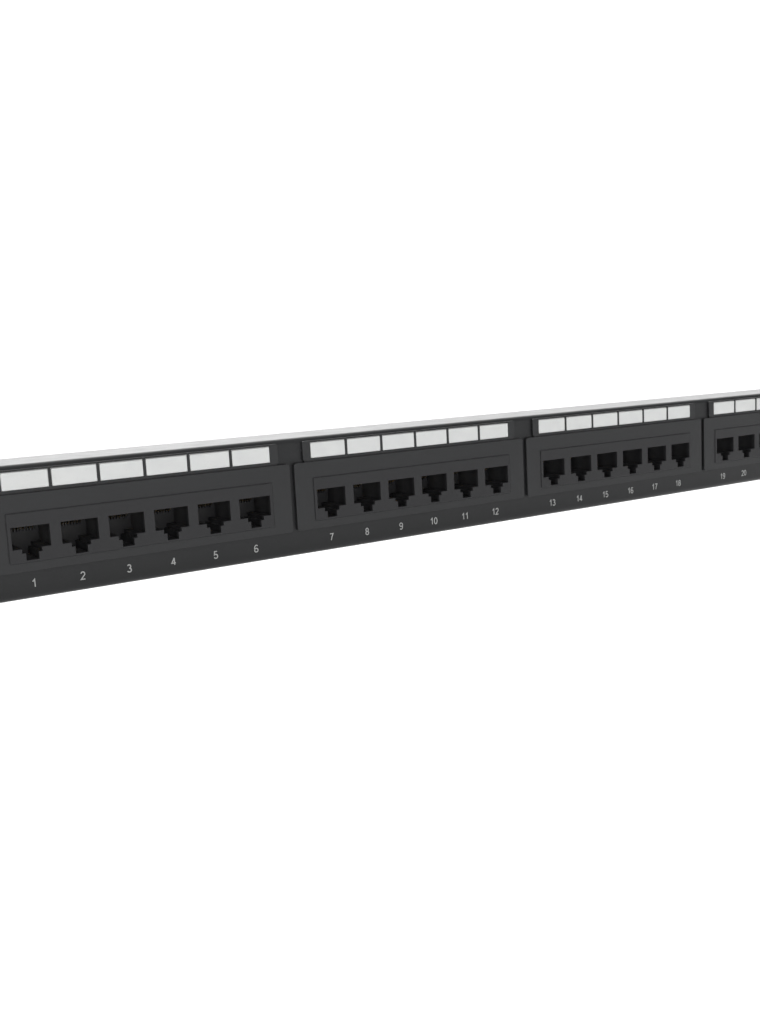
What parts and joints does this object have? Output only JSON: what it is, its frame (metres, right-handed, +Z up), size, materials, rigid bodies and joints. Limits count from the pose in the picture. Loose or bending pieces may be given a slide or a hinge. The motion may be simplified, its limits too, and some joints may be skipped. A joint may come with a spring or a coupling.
{
  "type": "patch panel",
  "caption": "Black one-unit rack patch panel: rows of modular jacks in moulded bezels with white label fields, punch-down blocks on circuit boards behind.",
  "frame": {"origin": "centre of the plane in which the rear faces of the two ears meet the rack rails, at mid width and mid height", "axes": "+X along the panel towards the highest port number, +Y to the rear (into the rack), +Z up"},
  "size_m": [0.4826, 0.0342, 0.0436],
  "materials": {
    "black_steel": "fine-textured black powder coat",
    "bezel_plastic": "satin moulded black plastic",
    "jack_plastic": "fine spark-eroded black plastic",
    "carrier_plastic": "matt black plastic",
    "board_laminate": "green solder mask",
    "block_plastic": "satin moulded black plastic",
    "label_white": "matt white writing surface",
    "screw_zinc": "bright zinc plate",
    "contact_gold": "gold plate on spring wire",
    "clip_tin": "bright tin plate",
    "print_white": "screen-printed white ink",
    "code_label": "printed film label"
  },
  "bodies": {
    "panel": {"front_panel": "black_steel", "bezel_1": "bezel_plastic", "jack_block_1": "jack_plastic", "contact_carrier_1": "carrier_plastic", "circuit_board_1": "board_laminate", "module_screw_1_left": "screw_zinc", "module_screw_1_right": "screw_zinc", "bezel_2": "bezel_plastic", "jack_block_2": "jack_plastic", "contact_carrier_2": "carrier_plastic", "circuit_board_2": "board_laminate", "module_screw_2_left": "screw_zinc", "module_screw_2_right": "screw_zinc", "bezel_3": "bezel_plastic", "jack_block_3": "jack_plastic", "contact_carrier_3": "carrier_plastic", "circuit_board_3": "board_laminate", "module_screw_3_left": "screw_zinc", "module_screw_3_right": "screw_zinc", "bezel_4": "bezel_plastic", "jack_block_4": "jack_plastic", "contact_carrier_4": "carrier_plastic", "circuit_board_4": "board_laminate", "module_screw_4_left": "screw_zinc", "module_screw_4_right": "screw_zinc", "punch_down_block_01": "block_plastic", "punch_down_block_02": "block_plastic", "punch_down_block_03": "block_plastic", "punch_down_block_04": "block_plastic", "punch_down_block_05": "block_plastic", "punch_down_block_06": "block_plastic", "punch_down_block_07": "block_plastic", "punch_down_block_08": "block_plastic", "punch_down_block_09": "block_plastic", "punch_down_block_10": "block_plastic", "punch_down_block_11": "block_plastic", "punch_down_block_12": "block_plastic", "punch_down_block_13": "block_plastic", "punch_down_block_14": "block_plastic", "punch_down_block_15": "block_plastic", "punch_down_block_16": "block_plastic", "punch_down_block_17": "block_plastic", "punch_down_block_18": "block_plastic", "punch_down_block_19": "block_plastic", "punch_down_block_20": "block_plastic", "punch_down_block_21": "block_plastic", "punch_down_block_22": "block_plastic", "punch_down_block_23": "block_plastic", "punch_down_block_24": "block_plastic"},
    "label_1": {"label_frame_1": "bezel_plastic", "label_insert_1": "label_white"},
    "label_2": {"label_frame_2": "bezel_plastic", "label_insert_2": "label_white"},
    "label_3": {"label_frame_3": "bezel_plastic", "label_insert_3": "label_white"},
    "label_4": {"label_frame_4": "bezel_plastic", "label_insert_4": "label_white"}
  },
  "joints": [
    {"name": "label_1_pull", "type": "slide", "parent": "panel", "child": "label_1", "axis": [0, -1, 0], "range_m": [0, 0.008]},
    {"name": "label_2_pull", "type": "slide", "parent": "panel", "child": "label_2", "axis": [0, -1, 0], "range_m": [0, 0.008]},
    {"name": "label_3_pull", "type": "slide", "parent": "panel", "child": "label_3", "axis": [0, -1, 0], "range_m": [0, 0.008]},
    {"name": "label_4_pull", "type": "slide", "parent": "panel", "child": "label_4", "axis": [0, -1, 0], "range_m": [0, 0.008]}
  ]
}
